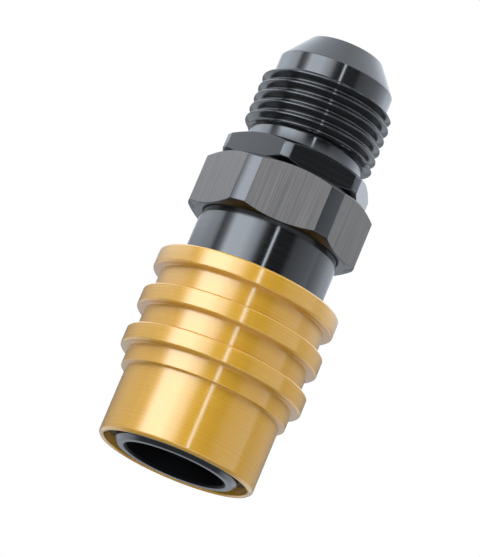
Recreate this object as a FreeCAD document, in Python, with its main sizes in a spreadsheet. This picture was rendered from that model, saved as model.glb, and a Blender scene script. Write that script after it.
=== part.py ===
"""Socket half of a ball-lock quick coupling with a 37 degree flare end.

The part stands on the front face of its nose: z = 0 is that face, +Z runs along the axis towards
the flare, and all sizes are in millimetres.
"""

import FreeCAD, Part
import os

import Sketcher

# Sizes that can be set by themselves, in millimetres, degrees or counts
SIZES = {
    # Locking balls
    "bore_dia": 13.8,  # bore that takes the plug
    "ball_dia": 3.175,  # locking ball
    "ball_count": 8,  # locking balls round the nose
    "ball_reach": 0.95,  # how far a locked ball stands into the bore
    "ball_proud": 0.175,  # how far a locked ball stands out of the nose
    "ball_travel": 1.0,  # how far a ball moves out to let the plug go
    "ball_clearance": 0.04,  # ball to cam, and ball to its hole
    "ball_web": 1.0,  # wall between the stop ring's groove and the ball holes
    # Nose of the body
    "nose_chamfer": 0.6,  # outer edge of the nose
    "lead_step": 0.3,  # how much wider the lead-in is than the bore, on the radius
    "lead_depth": 2.6,  # depth of the lead-in
    "mouth_chamfer": 0.3,  # inner edge of the nose
    # Stop ring of the sleeve
    "ring_height": 1.6,  # underside of the stop ring
    "ring_thickness": 0.9,  # stop ring along the axis
    "ring_seat": 0.5,  # how deep the stop ring's groove is
    "ring_opening": 24,  # opening of the stop ring in degrees
    "ring_clearance": 0.05,  # stop ring to its groove and to the sleeve's step
    "ring_play": 0.25,  # stop ring to the sleeve's mouth
    # Release sleeve
    "sleeve_front": 0.2,  # front end of the sleeve above the nose face
    "sleeve_travel": 4.2,  # how far the sleeve pulls back
    "shoulder_step": 0.66,  # width of the step that meets the stop ring
    "mouth_edge": 0.18,  # inner edge of the sleeve's mouth
    "front_land": 0.22,  # flat front face of the sleeve
    "sleeve_edge": 0.35,  # outer edge of the sleeve's mouth
    "grip_length": 9.9,  # plain front section of the sleeve
    "band_step": 0.75,  # height of the band above the plain section
    "band_width": 2.6,  # band between the plain section and the ribs
    "rib_height": 1.2,  # height of a rib above the band
    "rib_width": 2.65,  # width of a rib
    "rib_gap": 3.2,  # groove between two ribs
    "rib_count": 3,  # ribs
    "rib_chamfer": 0.2,  # edges of a rib
    "land_length": 1.88,  # lock land behind the cam
    "land_clearance": 0.06,  # nose to lock land
    "bore_step": 0.35,  # how much narrower the sleeve's bore is than its mouth, on the radius
    "slide_clearance": 0.05,  # barrel to sleeve
    # Springs
    "sleeve_spring_length": 8.6,  # sleeve spring at rest
    "sleeve_spring_pitch": 2.18,  # turn to turn of the sleeve spring
    "spring_play": 0.15,  # sleeve spring wire to nose and to sleeve
    "spring_end_gap": 0.03,  # each spring to each of its seats
    "valve_spring_pitch": 1.63,  # turn to turn of the valve spring
    "valve_wire_dia": 0.8,  # wire of the valve spring
    "valve_spring_play": 1.6,  # guide's hub to the valve spring
    # Barrel and hexagon of the body
    "bare_barrel": 2.95,  # barrel that is left free when the sleeve is pulled back
    "undercut_width": 0.5,  # undercut below the hexagon
    "undercut_depth": 0.25,  # undercut below the hexagon
    "hex_step": 1.1,  # flat of the hexagon above the barrel
    "hex_corner": 1.1,  # turned corners of the hexagon beyond its flats
    "hex_height": 8.1,  # hexagon along the axis
    "hex_angle": 30,  # chamfer of both hexagons in degrees
    "hex_margin": 0.1,  # how far inside the flats the chamfers of both hexagons start
    # Plug seal
    "seal_section": 1.78,  # section of the plug seal
    "seal_depth": 1.55,  # depth of the seal groove
    "seal_play": 0.05,  # each seal to its groove
    "backup_thickness": 1.1,  # backup ring along the axis
    "seal_margin": 0.5,  # front end of the barrel to the seal groove
    # Valve seat and poppet
    "bore_rest": 1.9,  # bore behind the seal groove
    "throat_step": 1.7,  # how much narrower the throat is than the bore, on the radius
    "throat_length": 1.2,  # straight part of the throat
    "chamber_step": 0.7,  # how much wider the chamber is than the bore, on the radius
    "poppet_play": 0.3,  # poppet to throat and seat
    "poppet_lead": 0.1,  # poppet head in front of the valve seat
    "poppet_flange": 0.95,  # flange behind the poppet seal
    "flange_step": 0.4,  # flange beyond the lip
    "poppet_seal_section": 1.4,  # section of the poppet seal
    "poppet_seal_gap": 0.02,  # poppet seal to the valve seat
    "seal_line": 1.0,  # where the poppet seal meets the seat, beyond the throat's radius
    "lip_inset": 0.2,  # poppet's lip inside the middle of its seal
    "pilot_dia": 4.0,  # pilot of the poppet
    "pilot_length": 9.0,  # pilot in front of the poppet's head
    "pilot_chamfer": 0.8,  # edge of the pilot's tip
    "stem_dia": 3.1,  # stem of the poppet
    "stem_chamfer": 0.3,  # edge of the stem's end
    "stem_beyond": 1.5,  # stem beyond the guide
    # Valve guide
    "guide_thickness": 1.5,  # guide along the axis
    "guide_step": 0.6,  # ledge of the body that carries the guide
    "hub_wall": 1.0,  # wall of the guide's hub round the stem
    "hub_drop": 1.2,  # hub in front of the guide
    "hub_rise": 0.5,  # hub behind the guide
    "guide_rim": 1.0,  # rim of the guide inside the chamber's radius
    "guide_spoke": 28,  # spoke between two flow windows in degrees
    "window_count": 3,  # flow windows of the guide
    "stem_clearance": 0.05,  # stem to guide
    "assembly_clearance": 0.05,  # guide and adapter to the body
    # Flare adapter
    "shank_length": 4.95,  # shank of the adapter inside the body
    "recess_step": 0.4,  # adapter's wide bore inside the guide's windows, on the radius
    "recess_floor": 1.0,  # adapter hexagon beyond the wide bore
    "adapter_seal_section": 1.1,  # section of the adapter seal
    "pocket_play": 0.3,  # adapter seal along its pocket
    "small_step": 0.5,  # flat of the adapter hexagon beyond the seal's pocket
    "small_corner": 1.15,  # turned corners of the adapter hexagon beyond its flats
    "small_height": 3.6,  # adapter hexagon along the axis
    "small_turn": 17,  # how far the adapter hexagon is turned from the body hexagon in degrees
    "thread_dia": 19.05,  # major diameter of the flare thread
    "thread_pitch": 1.5875,  # pitch of the flare thread
    "thread_length": 8.5,  # length of the flare thread
    "thread_flank": 30,  # flanks of the thread to its radius in degrees
    "neck_relief": 0.25,  # neck and plain end below the root of the thread
    "neck_length": 2.05,  # neck below the thread
    "plain_length": 2.78,  # plain end above the thread
    "flare_angle": 37,  # flare cone to the axis in degrees
    "flare_rim": 0.41,  # flat rim at the flare's tip
    "flow_dia": 9.9,  # flow bore of the adapter
    # Making
    "cut_overrun": 0.4,  # how far a cut goes past the surface that it opens
}

# Sizes that follow from them
FORMULAS = {
    # Balls and nose
    "bore_r": "bore_dia / 2",
    "ball_r": "ball_dia / 2",
    "hole_r": "ball_r + ball_clearance",
    "ball_centre": "bore_r - ball_reach + ball_r",
    "nose_r": "ball_centre + ball_r - ball_proud",
    "lead_r": "bore_r + lead_step",
    "ring_top": "ring_height + ring_thickness",
    "ring_root": "nose_r - ring_seat",
    "shoulder": "ring_top + ring_clearance",
    "ball_height": "shoulder + ball_web + hole_r",
    # The hole's cone is tangent to the ball's clearance where it opens into the bore
    "hole_drop": "ball_r - ball_reach",
    "hole_mouth_r": "sqrt(hole_r ^ 2 - hole_drop ^ 2)",
    "hole_cone": "hole_mouth_r * (hole_r - hole_mouth_r) / hole_drop",
    # The cam moves a ball out by its travel over the sleeve's travel
    "cam_slope": "ball_travel / sleeve_travel",
    "cam_at_ball": "ball_centre + hole_r * sqrt(1 + cam_slope ^ 2)",
    "cam_low_r": "cam_at_ball + cam_slope * (ball_height - shoulder)",
    "land_r": "nose_r + land_clearance",
    "cam_top": "ball_height + (cam_at_ball - land_r) / cam_slope",
    # Release sleeve
    "sleeve_seat": "cam_top + land_length",
    "mouth_r": "cam_low_r + shoulder_step",
    "grip_r": "mouth_r + mouth_edge + front_land + sleeve_edge",
    "band_r": "grip_r + band_step",
    "rib_r": "band_r + rib_height",
    "band_low": "sleeve_front + grip_length",
    "rib_low": "band_low + band_width",
    "rib_run": "(rib_count - 1) * (rib_width + rib_gap)",
    "sleeve_top": "rib_low + rib_run + rib_width",
    "sleeve_bore_r": "mouth_r - bore_step",
    "rib_root_r": "(sleeve_bore_r + band_r) / 2",
    # Sleeve spring, barrel and hexagon
    "sleeve_coil_r": "(nose_r + sleeve_bore_r) / 2",
    "sleeve_wire_r": "(sleeve_bore_r - nose_r) / 2 - spring_play",
    "barrel_r": "sleeve_bore_r - slide_clearance",
    "barrel_low": "sleeve_seat + sleeve_spring_length",
    "hex_r": "barrel_r + hex_step",
    "hex_corner_r": "hex_r + hex_corner",
    "hex_face_r": "hex_r - hex_margin",
    "hex_chamfer": "(hex_corner_r - hex_face_r) * tan(hex_angle * 1 deg)",
    "hex_low": "sleeve_top + sleeve_travel + bare_barrel",
    "hex_top": "hex_low + hex_height",
    # Plug seal and valve seat
    "groove_r": "bore_r + seal_depth",
    "groove_low": "barrel_low + seal_margin",
    "backup_top": "groove_low + seal_play + backup_thickness",
    "seal_height": "backup_top + seal_play + seal_section / 2",
    "groove_top": "seal_height + seal_section / 2 + seal_play",
    "bore_end": "groove_top + bore_rest",
    "throat_r": "bore_r - throat_step",
    "chamber_r": "bore_r + chamber_step",
    "seat_low": "bore_end + throat_length",
    "seat_top": "seat_low + chamber_r - throat_r",
    # Poppet
    "pilot_r": "pilot_dia / 2",
    "stem_r": "stem_dia / 2",
    "head_low": "seat_low - poppet_lead",
    "pilot_low": "head_low - pilot_length",
    "poppet_seal_r": "poppet_seal_section / 2",
    "poppet_ring_r": "throat_r + seal_line",
    "poppet_ring_height": "seat_low + seal_line + (poppet_seal_r + poppet_seal_gap) * sqrt(2)",
    "poppet_root": "poppet_ring_r - poppet_seal_r - seal_play",
    "lip_r": "poppet_ring_r - lip_inset",
    "lip_low": "head_low + lip_r - throat_r + poppet_play",
    "lip_top": "poppet_ring_height - poppet_seal_r - seal_play",
    "flange_r": "lip_r + flange_step",
    "flange_low": "poppet_ring_height + poppet_seal_r + seal_play",
    "flange_top": "flange_low + poppet_flange",
    # Valve guide and valve spring
    "guide_top": "hex_top - shank_length",
    "guide_low": "guide_top - guide_thickness",
    "shank_bore_r": "chamber_r + guide_step + assembly_clearance",
    "shank_r": "shank_bore_r - assembly_clearance",
    "hub_bore_r": "stem_r + stem_clearance",
    "hub_r": "hub_bore_r + hub_wall",
    "window_r": "chamber_r - guide_rim",
    "stem_top": "guide_top + hub_rise + stem_beyond",
    "valve_wire_r": "valve_wire_dia / 2",
    "valve_coil_r": "hub_r + valve_spring_play + valve_wire_r",
    # Flare adapter
    "recess_r": "window_r - recess_step",
    "seal_pocket": "adapter_seal_section + pocket_play",
    "seal_pocket_r": "shank_r + adapter_seal_section + 2 * seal_play",
    "small_r": "seal_pocket_r + small_step",
    "small_corner_r": "small_r + small_corner",
    "small_face_r": "small_r - hex_margin",
    "small_chamfer": "(small_corner_r - small_face_r) * tan(hex_angle * 1 deg)",
    "small_top": "hex_top + small_height",
    "thread_r": "thread_dia / 2",
    "thread_depth": "0.6134 * thread_pitch",  # external thread of 60 degrees
    "thread_root_r": "thread_r - thread_depth",
    "thread_low": "small_top + neck_length",
    "thread_top": "thread_low + thread_length",
    # The groove's cut starts and ends in the clear, and stops just past the crests
    "thread_lead": "0.208 * thread_pitch",
    "thread_start": "thread_low - thread_lead",
    "thread_clear": "thread_pitch / 16",
    "thread_clear_r": "thread_r + thread_clear",
    "thread_floor": "thread_pitch / 12",
    "thread_mouth": "thread_floor + (thread_depth + thread_clear) * tan(thread_flank * 1 deg)",
    "neck_r": "thread_root_r - neck_relief",
    "flow_r": "flow_dia / 2",
    "flare_tip_r": "flow_r + flare_rim",
    "flare_low": "thread_top + plain_length",
    "flare_top": "flare_low + (neck_r - flare_tip_r) / tan(flare_angle * 1 deg)",
}

DOC = FreeCAD.newDocument("QuickCoupling")
SHEET = DOC.addObject("Spreadsheet::Sheet", "Size")
BODIES = []


def fill_sheet():
    """One row per size: its name, then its number or formula."""
    contents = {name: str(number) for name, number in SIZES.items()}
    for name, formula in FORMULAS.items():
        contents[name] = "=" + formula
    for row, (name, content) in enumerate(contents.items(), 1):
        SHEET.set(f"A{row}", name)
        SHEET.set(f"B{row}", content)
        SHEET.setAlias(f"B{row}", name)
    DOC.recompute()


def new_body(name):
    """An empty body whose label is the name of its node."""
    body = DOC.addObject("PartDesign::Body", name)
    body.Label = name
    BODIES.append(body)
    return body


def new_sketch(body, name, plane="XZ_Plane", height=None):
    """A sketch on one of the body's own planes, lifted by the height expression."""
    sketch = body.newObject("Sketcher::SketchObject", name)
    support = [feature for feature in body.Origin.OriginFeatures if feature.Role == plane]
    sketch.AttachmentSupport = [(support[0], "")]
    sketch.MapMode = "FlatFace"
    if height:
        sketch.setExpression("AttachmentOffset.Base.z", height)
    return sketch


def pin_point(sketch, line, name, across, up):
    """Hold the start of a line at two expressions measured from the sketch's origin."""
    nothing = 1e-9
    for kind, axis, expression in (("DistanceX", -2, across), ("DistanceY", -1, up)):
        value = SHEET.evalExpression(expression)
        if abs(value) < nothing:
            sketch.addConstraint(Sketcher.Constraint("PointOnObject", line, 1, axis))
            continue
        index = sketch.addConstraint(Sketcher.Constraint(kind, -1, 1, line, 1, value))
        label = f"{name}_{kind[-1].lower()}"
        sketch.renameConstraint(index, label)
        sketch.setExpression(f"Constraints.{label}", expression)


def outline(sketch, corners):
    """A closed outline of straight lines through corners given as (name, across, up)."""
    points = []
    for _, across, up in corners:
        points.append(FreeCAD.Vector(SHEET.evalExpression(across), SHEET.evalExpression(up), 0))
    following = points[1:] + points[:1]
    for start, end in zip(points, following):
        sketch.addGeometry(Part.LineSegment(start, end), False)
    for line in range(len(points)):
        sketch.addConstraint(Sketcher.Constraint("Coincident", line, 2, (line + 1) % len(points), 1))
    for line, (name, across, up) in enumerate(corners):
        pin_point(sketch, line, name, across, up)
    DOC.recompute()


def turn(body, name, corners, angle="360"):
    """Revolve an outline of (name, radius, height) corners about the Z axis."""
    sketch = new_sketch(body, name + "_profile")
    outline(sketch, corners)
    feature = body.newObject("PartDesign::Revolution", name)
    feature.Profile = (sketch, [""])
    feature.ReferenceAxis = (sketch, ["V_Axis"])
    feature.setExpression("Angle", angle)
    DOC.recompute()
    return feature


def pattern(body, name, feature, axis, count):
    """Repeat one feature evenly round an axis."""
    repeated = body.newObject("PartDesign::PolarPattern", name)
    repeated.Originals = [feature]
    repeated.Axis = axis
    repeated.Angle = 360
    repeated.setExpression("Occurrences", count)
    body.Tip = repeated
    DOC.recompute()


def mill_hexagon(body, name, flat_radius, corner_radius, low, high):
    """Mill one flat on the +Y side between two heights, then repeat it for a hexagon."""
    sketch = new_sketch(body, name + "_flat_outline", "XY_Plane", low)
    clear = f"{corner_radius} + Size.cut_overrun"
    outline(sketch, [
        ("near_left", f"-{corner_radius}", flat_radius),
        ("near_right", corner_radius, flat_radius),
        ("far_right", corner_radius, clear),
        ("far_left", f"-{corner_radius}", clear),
    ])
    cut = body.newObject("PartDesign::Pocket", name + "_flat")
    cut.Profile = (sketch, [""])
    cut.Reversed = True
    cut.setExpression("Length", f"{high} - {low}")
    DOC.recompute()
    pattern(body, name + "_flats", cut, (sketch, ["N_Axis"]), "6")


def round_ring(name, mean_radius, section_radius, height):
    """A ring of round section, such as an O-ring, lying flat at a height."""
    body = new_body(name)
    ring = body.newObject("PartDesign::AdditiveTorus", name + "_ring")
    ring.setExpression("Radius1", mean_radius)
    ring.setExpression("Radius2", section_radius)
    body.setExpression("Placement.Base.z", height)
    DOC.recompute()


def coil(name, mean_radius, wire_radius, low, high, pitch):
    """A compression spring of round wire between two heights, in whole half turns."""
    body = new_body(name)
    sketch = new_sketch(body, name + "_wire")
    first = f"{low} + {wire_radius} + Size.spring_end_gap"
    run = f"({high} - {low} - 2 * {wire_radius} - 2 * Size.spring_end_gap)"
    centre = FreeCAD.Vector(SHEET.evalExpression(mean_radius), SHEET.evalExpression(first), 0)
    radius = SHEET.evalExpression(wire_radius)
    sketch.addGeometry(Part.Circle(centre, FreeCAD.Vector(0, 0, 1), radius), False)
    held = {
        "wire_across": (Sketcher.Constraint("DistanceX", -1, 1, 0, 3, centre.x), mean_radius),
        "wire_up": (Sketcher.Constraint("DistanceY", -1, 1, 0, 3, centre.y), first),
        "wire_radius": (Sketcher.Constraint("Radius", 0, radius), wire_radius),
    }
    for label, (constraint, expression) in held.items():
        sketch.renameConstraint(sketch.addConstraint(constraint), label)
        sketch.setExpression(f"Constraints.{label}", expression)
    DOC.recompute()
    helix = body.newObject("PartDesign::AdditiveHelix", name + "_coil")
    helix.Profile = (sketch, [""])
    helix.ReferenceAxis = (sketch, ["V_Axis"])
    helix.Mode = "height-turns-angle"
    helix.setExpression("Height", run)
    helix.setExpression("Turns", f"round(2 * {run} / {pitch}) / 2")
    DOC.recompute()


fill_sheet()

# Coupler body: nose, barrel and hexagon turned in one piece with the bore, seat and chamber
body = new_body("coupler_body")
turn(body, "body_turned", [
    ("front_in", "Size.lead_r + Size.mouth_chamfer", "0"),
    ("front_out", "Size.nose_r - Size.nose_chamfer", "0"),
    ("nose_edge", "Size.nose_r", "Size.nose_chamfer"),
    ("ring_front", "Size.nose_r", "Size.ring_height - Size.ring_clearance"),
    ("ring_floor_front", "Size.ring_root", "Size.ring_height - Size.ring_clearance"),
    ("ring_floor_back", "Size.ring_root", "Size.ring_top + Size.ring_clearance"),
    ("ring_back", "Size.nose_r", "Size.ring_top + Size.ring_clearance"),
    ("nose_back", "Size.nose_r", "Size.barrel_low"),
    ("barrel_front", "Size.barrel_r", "Size.barrel_low"),
    ("undercut_front", "Size.barrel_r", "Size.hex_low - Size.undercut_width"),
    ("undercut_floor", "Size.barrel_r - Size.undercut_depth", "Size.hex_low - Size.undercut_width"),
    ("undercut_back", "Size.barrel_r - Size.undercut_depth", "Size.hex_low"),
    ("hex_face_front", "Size.hex_face_r", "Size.hex_low"),
    ("hex_corner_front", "Size.hex_corner_r", "Size.hex_low + Size.hex_chamfer"),
    ("hex_corner_back", "Size.hex_corner_r", "Size.hex_top - Size.hex_chamfer"),
    ("hex_face_back", "Size.hex_face_r", "Size.hex_top"),
    ("pocket_edge", "Size.seal_pocket_r", "Size.hex_top"),
    ("pocket_floor", "Size.seal_pocket_r", "Size.hex_top - Size.seal_pocket"),
    ("shank_bore_back", "Size.shank_bore_r", "Size.hex_top - Size.seal_pocket"),
    ("shank_bore_front", "Size.shank_bore_r", "Size.guide_low"),
    ("chamber_back", "Size.chamber_r", "Size.guide_low"),
    ("seat_large", "Size.chamber_r", "Size.seat_top"),
    ("seat_small", "Size.throat_r", "Size.seat_low"),
    ("throat_front", "Size.throat_r", "Size.bore_end"),
    ("bore_back", "Size.bore_r", "Size.bore_end"),
    ("groove_back", "Size.bore_r", "Size.groove_top"),
    ("groove_floor_back", "Size.groove_r", "Size.groove_top"),
    ("groove_floor_front", "Size.groove_r", "Size.groove_low"),
    ("groove_front", "Size.bore_r", "Size.groove_low"),
    ("bore_front", "Size.bore_r", "Size.lead_depth"),
    ("lead_back", "Size.lead_r", "Size.lead_depth"),
    ("lead_front", "Size.lead_r", "Size.mouth_chamfer"),
])
mill_hexagon(
    body,
    "body_hexagon",
    "Size.hex_r",
    "Size.hex_corner_r",
    "Size.hex_low",
    "Size.hex_top",
)

# One ball hole, turned about its own radial axis and narrower at the bore so that the ball can't fall in
hole_outline = new_sketch(body, "ball_hole_profile")
outline(hole_outline, [
    ("axis_in", "Size.bore_r - Size.cut_overrun", "Size.ball_height"),
    ("axis_out", "Size.nose_r + Size.cut_overrun", "Size.ball_height"),
    ("rim_out", "Size.nose_r + Size.cut_overrun", "Size.ball_height + Size.hole_r"),
    ("rim_straight", "Size.bore_r + Size.hole_cone", "Size.ball_height + Size.hole_r"),
    ("rim_bore", "Size.bore_r", "Size.ball_height + Size.hole_mouth_r"),
    ("rim_in", "Size.bore_r - Size.cut_overrun", "Size.ball_height + Size.hole_mouth_r"),
])
ball_hole = body.newObject("PartDesign::Groove", "ball_hole")
ball_hole.Profile = (hole_outline, [""])
ball_hole.ReferenceAxis = (hole_outline, ["Edge1"])
ball_hole.Angle = 360
DOC.recompute()
pattern(body, "ball_holes", ball_hole, (hole_outline, ["V_Axis"]), "Size.ball_count")

# Release sleeve: a turned tube with the cam and lock land inside, and ribs for the fingers
sleeve = new_body("release_sleeve")
turn(sleeve, "sleeve_turned", [
    ("mouth_rim", "Size.mouth_r + Size.mouth_edge", "Size.sleeve_front"),
    ("front_out", "Size.grip_r - Size.sleeve_edge", "Size.sleeve_front"),
    ("front_edge", "Size.grip_r", "Size.sleeve_front + Size.sleeve_edge"),
    ("grip_back", "Size.grip_r", "Size.band_low"),
    ("band_front", "Size.band_r", "Size.band_low"),
    ("band_back", "Size.band_r", "Size.sleeve_top"),
    ("back_in", "Size.sleeve_bore_r", "Size.sleeve_top"),
    ("spring_seat_out", "Size.sleeve_bore_r", "Size.sleeve_seat"),
    ("spring_seat_in", "Size.land_r", "Size.sleeve_seat"),
    ("land_front", "Size.land_r", "Size.cam_top"),
    ("cam_front", "Size.cam_low_r", "Size.shoulder"),
    ("shoulder_out", "Size.mouth_r", "Size.shoulder"),
    ("mouth_front", "Size.mouth_r", "Size.sleeve_front + Size.mouth_edge"),
])
rib = turn(sleeve, "rib", [
    ("root_front", "Size.rib_root_r", "Size.rib_low"),
    ("edge_front", "Size.rib_r - Size.rib_chamfer", "Size.rib_low"),
    ("crest_front", "Size.rib_r", "Size.rib_low + Size.rib_chamfer"),
    ("crest_back", "Size.rib_r", "Size.rib_low + Size.rib_width - Size.rib_chamfer"),
    ("edge_back", "Size.rib_r - Size.rib_chamfer", "Size.rib_low + Size.rib_width"),
    ("root_back", "Size.rib_root_r", "Size.rib_low + Size.rib_width"),
])
ribs = sleeve.newObject("PartDesign::LinearPattern", "ribs")
ribs.Originals = [rib]
ribs.Direction = (DOC.getObject("rib_profile"), ["V_Axis"])
ribs.setExpression("Length", "Size.rib_run")
ribs.setExpression("Occurrences", "Size.rib_count")
sleeve.Tip = ribs
DOC.recompute()

# Stop ring: an open flat ring in the nose's groove that keeps the sleeve on
stop_ring = new_body("sleeve_stop_ring")
turn(stop_ring, "stop_ring_turned", [
    ("inner_front", "Size.ring_root + Size.ring_clearance", "Size.ring_height"),
    ("outer_front", "Size.mouth_r - Size.ring_play", "Size.ring_height"),
    ("outer_back", "Size.mouth_r - Size.ring_play", "Size.ring_top"),
    ("inner_back", "Size.ring_root + Size.ring_clearance", "Size.ring_top"),
], "360 - Size.ring_opening")

coil(
    "sleeve_spring",
    "Size.sleeve_coil_r",
    "Size.sleeve_wire_r",
    "Size.sleeve_seat",
    "Size.barrel_low",
    "Size.sleeve_spring_pitch",
)

# Locking balls, one body each because each moves on its own radius
for number in range(1, int(SHEET.ball_count) + 1):
    ball_body = new_body(f"lock_ball_{number}")
    ball = ball_body.newObject("PartDesign::AdditiveSphere", f"ball_{number}")
    ball.setExpression("Radius", "Size.ball_r")
    turned_by = f"({number} - 1) * 360 deg / Size.ball_count"
    ball_body.setExpression("Placement.Base.x", f"Size.ball_centre * cos({turned_by})")
    ball_body.setExpression("Placement.Base.y", f"Size.ball_centre * sin({turned_by})")
    ball_body.setExpression("Placement.Base.z", "Size.ball_height")
DOC.recompute()

# Plug seal and its backup ring in the bore's groove
round_ring(
    "plug_seal",
    "Size.groove_r - Size.seal_play - Size.seal_section / 2",
    "Size.seal_section / 2",
    "Size.seal_height",
)
backup = new_body("seal_backup_ring")
turn(backup, "backup_turned", [
    ("inner_front", "Size.bore_r + Size.seal_play", "Size.groove_low + Size.seal_play"),
    ("outer_front", "Size.groove_r - Size.seal_play", "Size.groove_low + Size.seal_play"),
    ("outer_back", "Size.groove_r - Size.seal_play", "Size.backup_top"),
    ("inner_back", "Size.bore_r + Size.seal_play", "Size.backup_top"),
])

# Poppet: pilot for the plug in front, sealing head in the seat, stem through the guide
poppet = new_body("poppet")
turn(poppet, "poppet_turned", [
    ("pilot_tip", "0", "Size.pilot_low"),
    ("pilot_tip_edge", "Size.pilot_r - Size.pilot_chamfer", "Size.pilot_low"),
    ("pilot_edge", "Size.pilot_r", "Size.pilot_low + Size.pilot_chamfer"),
    ("pilot_root", "Size.pilot_r", "Size.head_low"),
    ("head_front", "Size.throat_r - Size.poppet_play", "Size.head_low"),
    ("lip_front", "Size.lip_r", "Size.lip_low"),
    ("lip_back", "Size.lip_r", "Size.lip_top"),
    ("groove_front", "Size.poppet_root", "Size.lip_top"),
    ("groove_back", "Size.poppet_root", "Size.flange_low"),
    ("flange_front", "Size.flange_r", "Size.flange_low"),
    ("flange_back", "Size.flange_r", "Size.flange_top"),
    ("stem_root", "Size.stem_r", "Size.flange_top"),
    ("stem_edge", "Size.stem_r", "Size.stem_top - Size.stem_chamfer"),
    ("stem_end", "Size.stem_r - Size.stem_chamfer", "Size.stem_top"),
    ("stem_axis", "0", "Size.stem_top"),
])
round_ring("poppet_seal", "Size.poppet_ring_r", "Size.poppet_seal_r", "Size.poppet_ring_height")

coil(
    "valve_spring",
    "Size.valve_coil_r",
    "Size.valve_wire_r",
    "Size.flange_top",
    "Size.guide_low",
    "Size.valve_spring_pitch",
)

# Valve guide: a disc with a hub for the stem and windows for the flow
guide = new_body("valve_guide")
turn(guide, "guide_turned", [
    ("hub_front_in", "Size.hub_bore_r", "Size.guide_low - Size.hub_drop"),
    ("hub_front_out", "Size.hub_r", "Size.guide_low - Size.hub_drop"),
    ("disc_front_in", "Size.hub_r", "Size.guide_low"),
    ("disc_front_out", "Size.shank_r", "Size.guide_low"),
    ("disc_back_out", "Size.shank_r", "Size.guide_top"),
    ("disc_back_in", "Size.hub_r", "Size.guide_top"),
    ("hub_back_out", "Size.hub_r", "Size.guide_top + Size.hub_rise"),
    ("hub_back_in", "Size.hub_bore_r", "Size.guide_top + Size.hub_rise"),
])
window_outline = new_sketch(guide, "window_profile")
outline(window_outline, [
    ("inner_front", "Size.hub_r", "Size.guide_low - Size.cut_overrun"),
    ("outer_front", "Size.window_r", "Size.guide_low - Size.cut_overrun"),
    ("outer_back", "Size.window_r", "Size.guide_top + Size.cut_overrun"),
    ("inner_back", "Size.hub_r", "Size.guide_top + Size.cut_overrun"),
])
window = guide.newObject("PartDesign::Groove", "window")
window.Profile = (window_outline, [""])
window.ReferenceAxis = (window_outline, ["V_Axis"])
window.setExpression("Angle", "360 / Size.window_count - Size.guide_spoke")
DOC.recompute()
pattern(guide, "windows", window, (window_outline, ["V_Axis"]), "Size.window_count")

# Flare adapter: shank in the body, hexagon, right-hand thread and flare
adapter = new_body("flare_adapter")
turn(adapter, "adapter_turned", [
    ("shank_front_in", "Size.recess_r", "Size.guide_top"),
    ("shank_front_out", "Size.shank_r", "Size.guide_top"),
    ("shank_back", "Size.shank_r", "Size.hex_top"),
    ("hex_face_front", "Size.small_face_r", "Size.hex_top"),
    ("hex_corner_front", "Size.small_corner_r", "Size.hex_top + Size.small_chamfer"),
    ("hex_corner_back", "Size.small_corner_r", "Size.small_top - Size.small_chamfer"),
    ("hex_face_back", "Size.small_face_r", "Size.small_top"),
    ("neck_front", "Size.neck_r", "Size.small_top"),
    ("neck_back", "Size.neck_r", "Size.thread_low"),
    ("thread_root_front", "Size.thread_root_r", "Size.thread_low"),
    ("thread_front", "Size.thread_r", "Size.thread_low + Size.thread_depth / 2"),
    ("thread_back", "Size.thread_r", "Size.thread_top - Size.thread_depth / 2"),
    ("thread_root_back", "Size.thread_root_r", "Size.thread_top"),
    ("plain_front", "Size.neck_r", "Size.thread_top"),
    ("plain_back", "Size.neck_r", "Size.flare_low"),
    ("flare_tip", "Size.flare_tip_r", "Size.flare_top"),
    ("flow_back", "Size.flow_r", "Size.flare_top"),
    ("flow_front", "Size.flow_r", "Size.small_top - Size.recess_floor"),
    ("recess_back", "Size.recess_r", "Size.small_top - Size.recess_floor"),
])
mill_hexagon(
    adapter,
    "adapter_hexagon",
    "Size.small_r",
    "Size.small_corner_r",
    "Size.hex_top",
    "Size.small_top",
)
groove = new_sketch(adapter, "thread_groove_outline")
outline(groove, [
    ("floor_low", "Size.thread_root_r", "Size.thread_start - Size.thread_floor"),
    ("floor_high", "Size.thread_root_r", "Size.thread_start + Size.thread_floor"),
    ("mouth_high", "Size.thread_clear_r", "Size.thread_start + Size.thread_mouth"),
    ("mouth_low", "Size.thread_clear_r", "Size.thread_start - Size.thread_mouth"),
])
thread = adapter.newObject("PartDesign::SubtractiveHelix", "thread_groove")
thread.Profile = (groove, [""])
thread.ReferenceAxis = (groove, ["V_Axis"])
thread.Mode = "pitch-height-angle"
thread.setExpression("Pitch", "Size.thread_pitch")
thread.setExpression("Height", "Size.thread_length + 2 * Size.thread_lead")
adapter.Tip = thread
adapter.setExpression("Placement.Rotation.Angle", "Size.small_turn")
DOC.recompute()

round_ring(
    "adapter_seal",
    "Size.shank_r + Size.seal_play + Size.adapter_seal_section / 2",
    "Size.adapter_seal_section / 2",
    "Size.hex_top - Size.seal_pocket / 2",
)

for item in DOC.Objects:
    if "Invalid" in item.State or "Error" in item.State:
        raise RuntimeError(f"{item.Name} could not be built")

os.makedirs("parts", exist_ok=True)
for item in BODIES:
    if item.Shape.isNull() or not item.Shape.isValid() or len(item.Shape.Solids) != 1:
        raise RuntimeError(f"{item.Label} is not one valid solid")
    item.Shape.exportStep(f"parts/{item.Label}.step")
    print(item.Label, round(item.Shape.Volume, 2), "mm3")
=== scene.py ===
import math

import bmesh
import bpy
from mathutils import Matrix, Vector


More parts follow.
